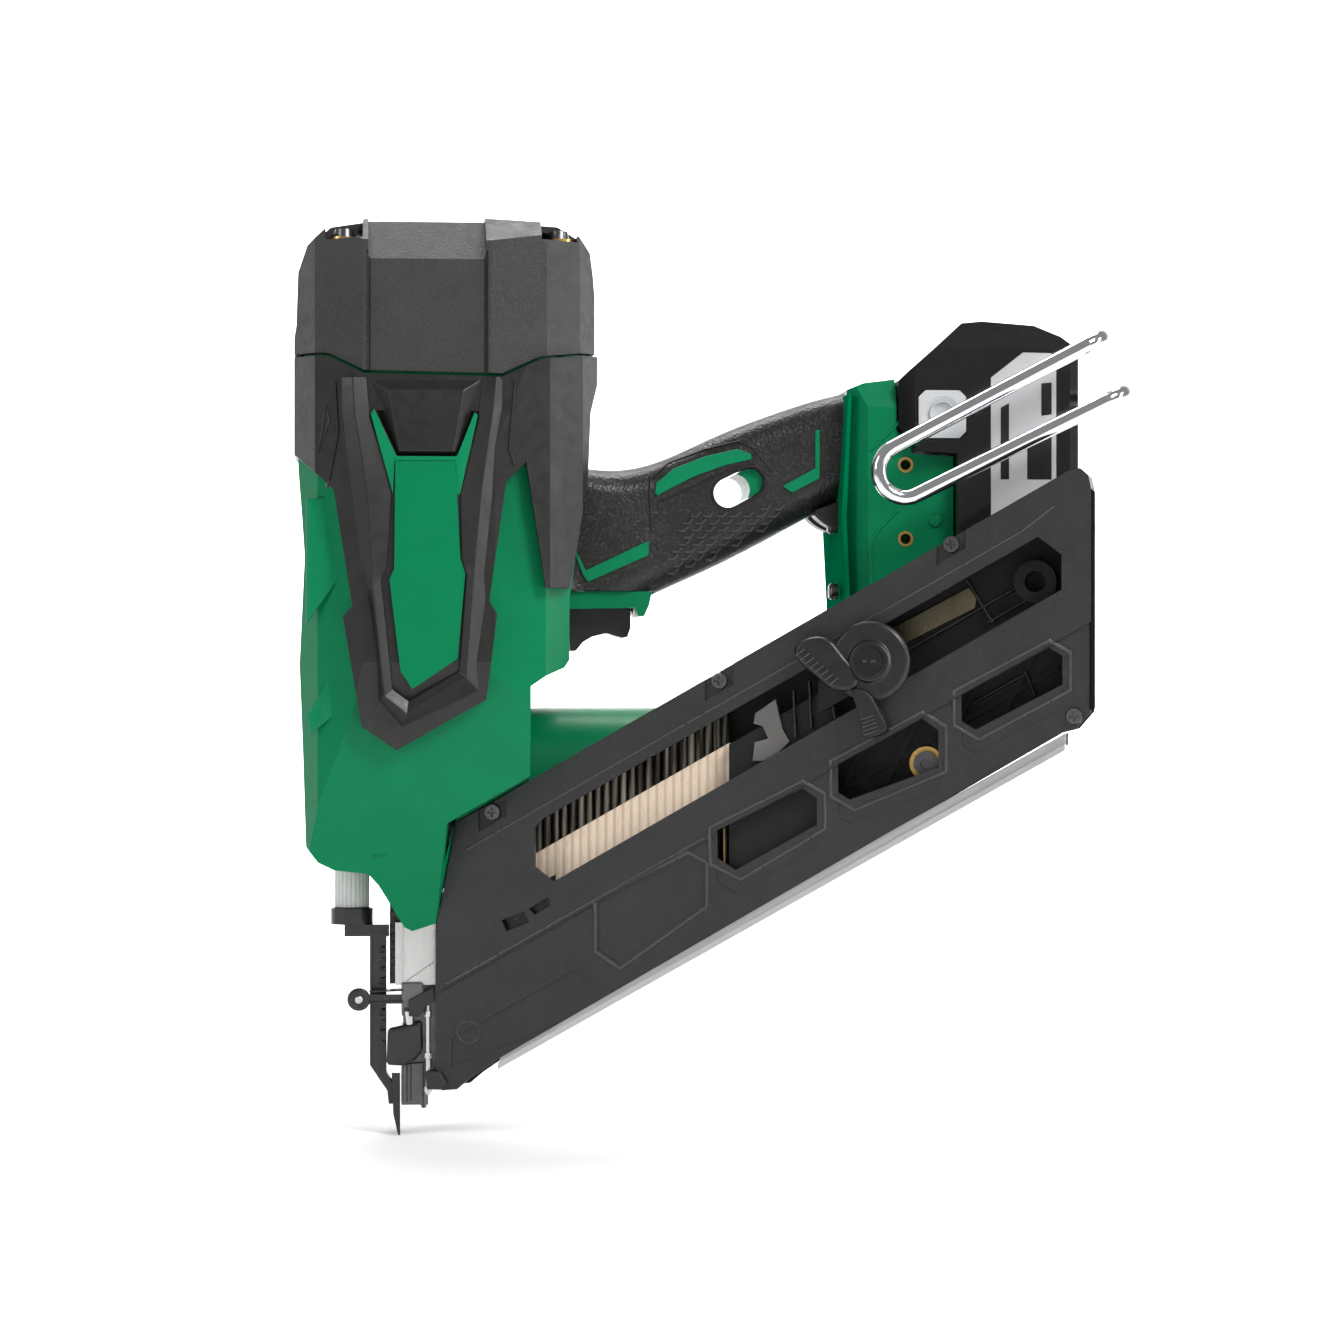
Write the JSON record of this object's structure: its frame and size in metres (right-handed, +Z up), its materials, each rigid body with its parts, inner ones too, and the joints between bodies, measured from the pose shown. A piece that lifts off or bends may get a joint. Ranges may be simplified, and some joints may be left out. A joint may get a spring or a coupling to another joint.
{
  "type": "strip nailer",
  "caption": "Cordless strip framing nailer with slide-in battery pack, slanted open-sided magazine, toothed contact probe, air-spring driver and wire hanging hook.",
  "frame": {"origin": "on the drive axis at the level of the lowest probe tooth", "axes": "+Z up along the drive axis, away from the work; +X rearwards to the battery; -Y the tool's left side, towards which the magazine leans"},
  "size_m": [0.317, 0.1427, 0.3499],
  "materials": {
    "green_housing": "satin moulded plastic",
    "black_rubber": "soft matt overmould",
    "cap_plastic": "fine-grained black plastic",
    "magazine_plastic": "grained dark grey plastic",
    "black_plastic": "satin",
    "pack_plastic": "gloss",
    "latch_grey": "satin",
    "white_plastic": "satin",
    "zinc_screw": "dark zinc",
    "brass": "satin",
    "chrome": "bright",
    "black_steel": "black oxide",
    "steel": "ground",
    "nail_steel": "drawn wire, dark",
    "spring_steel": "bright",
    "cast_aluminium": "as cast",
    "copper_winding": "lacquered",
    "board": "lacquered board",
    "cell_wrap": "shrink wrap",
    "rubber": "matt",
    "paper_tape": "matt kraft paper"
  },
  "bodies": {
    "tool": {"cap": "cap_plastic", "screws": "zinc_screw", "washers": "brass", "head_shell_left": "green_housing", "head_shell_right": "green_housing", "head_armour_left": "black_rubber", "head_armour_right": "black_rubber", "badges": "green_housing", "handle_left": "black_rubber", "handle_right": "black_rubber", "trigger_housing": "green_housing", "trigger_pin": "steel", "trigger_switch": "black_plastic", "base_left": "green_housing", "base_right": "green_housing", "threaded_inserts": "brass", "battery_terminals": "brass", "control_board": "board", "motor_case_left": "green_housing", "motor_case_right": "green_housing", "gear_case": "cast_aluminium", "main_frame": "cast_aluminium", "bearings": "steel", "ring_gear": "steel", "motor_stator": "copper_winding", "air_chamber": "cast_aluminium", "cylinder": "cast_aluminium", "bumper": "rubber", "magazine_cover": "magazine_plastic", "magazine_frame": "magazine_plastic", "magazine_rail": "steel", "nail_strip": "nail_steel", "paper_tape": "paper_tape", "pusher_spring": "black_steel", "nose_body": "black_steel", "nose_plate": "steel", "probe_guide": "black_steel", "probe_spring": "spring_steel", "hook": "chrome"},
    "probe": {"probe_arm": "black_steel"},
    "depth_wheel": {"depth_adjuster": "white_plastic"},
    "trigger": {"trigger": "black_plastic"},
    "lock_slider": {"trigger_lock": "green_housing"},
    "pusher": {"pusher": "black_steel"},
    "pusher_lever": {"pusher_lever": "black_plastic"},
    "battery": {"battery_cover": "pack_plastic", "battery_case": "pack_plastic", "battery_cells": "cell_wrap", "battery_board": "board"},
    "latch_left": {"battery_latch_left": "latch_grey"},
    "latch_right": {"battery_latch_right": "latch_grey"},
    "driver": {"piston": "cast_aluminium", "driver_blade": "steel"},
    "rotor": {"motor_rotor": "steel", "cooling_fan": "white_plastic"},
    "carrier": {"planet_carrier": "steel", "lifter_wheel": "steel"},
    "planet_1": {"planet_gear_1": "steel"},
    "planet_2": {"planet_gear_2": "steel"},
    "planet_3": {"planet_gear_3": "steel"}
  },
  "joints": [
    {"name": "probe_slide", "type": "slide", "parent": "tool", "child": "probe", "axis": [0, 0, 1], "range_m": [0, 0.01], "stiffness_N_per_m": 600, "springref_m": -0.012, "deforming": ["probe_spring"]},
    {"name": "depth_wheel_turn", "type": "hinge", "parent": "probe", "child": "depth_wheel", "pos_m": [-0.0241, 0, 0.0925], "axis": [0, 0, 1], "continuous": true},
    {"name": "trigger_pivot", "type": "hinge", "parent": "tool", "child": "trigger", "pos_m": [0.0635, 0, 0.209], "axis": [0, -1, 0], "range_deg": [0, 9], "stiffness_Nm_per_rad": 0.6, "springref_deg": -11.46},
    {"name": "trigger_lock_slide", "type": "slide", "parent": "tool", "child": "lock_slider", "axis": [-0.891, 0, -0.454], "range_m": [0, 0.0075]},
    {"name": "pusher_slide", "type": "slide", "parent": "tool", "child": "pusher", "axis": [0.8399, -0.225, 0.4939], "range_m": [0, 0.06], "stiffness_N_per_m": 60, "springref_m": -0.05},
    {"name": "pusher_lever_pivot", "type": "hinge", "parent": "pusher", "child": "pusher_lever", "pos_m": [0.16869, -0.06591, 0.1823], "axis": [-0.2588, -0.9659, 0], "range_deg": [0, 12], "stiffness_Nm_per_rad": 0.3, "springref_deg": -11.46},
    {"name": "battery_slide", "type": "slide", "parent": "tool", "child": "battery", "axis": [0, 0, 1], "range_m": [0, 0.07]},
    {"name": "latch_left_press", "type": "slide", "parent": "battery", "child": "latch_left", "axis": [0, 1, 0], "range_m": [0, 0.003], "stiffness_N_per_m": 900, "springref_m": -0.003},
    {"name": "latch_right_press", "type": "slide", "parent": "battery", "child": "latch_right", "axis": [0, -1, 0], "range_m": [0, 0.003], "stiffness_N_per_m": 900, "springref_m": -0.003},
    {"name": "driver_stroke", "type": "slide", "parent": "tool", "child": "driver", "axis": [0, 0, -1], "range_m": [0, 0.094]},
    {"name": "rotor_spin", "type": "hinge", "parent": "tool", "child": "rotor", "pos_m": [0.078, 0.03, 0.136], "axis": [1, 0, 0], "continuous": true},
    {"name": "carrier_spin", "type": "hinge", "parent": "tool", "child": "carrier", "pos_m": [0.005, 0.03, 0.136], "axis": [1, 0, 0], "continuous": true},
    {"name": "planet_1_spin", "type": "hinge", "parent": "carrier", "child": "planet_1", "pos_m": [0.029, 0.0435, 0.136], "axis": [1, 0, 0], "continuous": true},
    {"name": "planet_2_spin", "type": "hinge", "parent": "carrier", "child": "planet_2", "pos_m": [0.029, 0.02325, 0.14769], "axis": [1, 0, 0], "continuous": true},
    {"name": "planet_3_spin", "type": "hinge", "parent": "carrier", "child": "planet_3", "pos_m": [0.029, 0.02325, 0.12431], "axis": [1, 0, 0], "continuous": true}
  ],
  "couplings": [
    {"joint": "carrier_spin", "follows": "rotor_spin", "ratio": 0.2},
    {"joint": "planet_1_spin", "follows": "rotor_spin", "ratio": -0.53333},
    {"joint": "planet_2_spin", "follows": "rotor_spin", "ratio": -0.53333},
    {"joint": "planet_3_spin", "follows": "rotor_spin", "ratio": -0.53333}
  ]
}
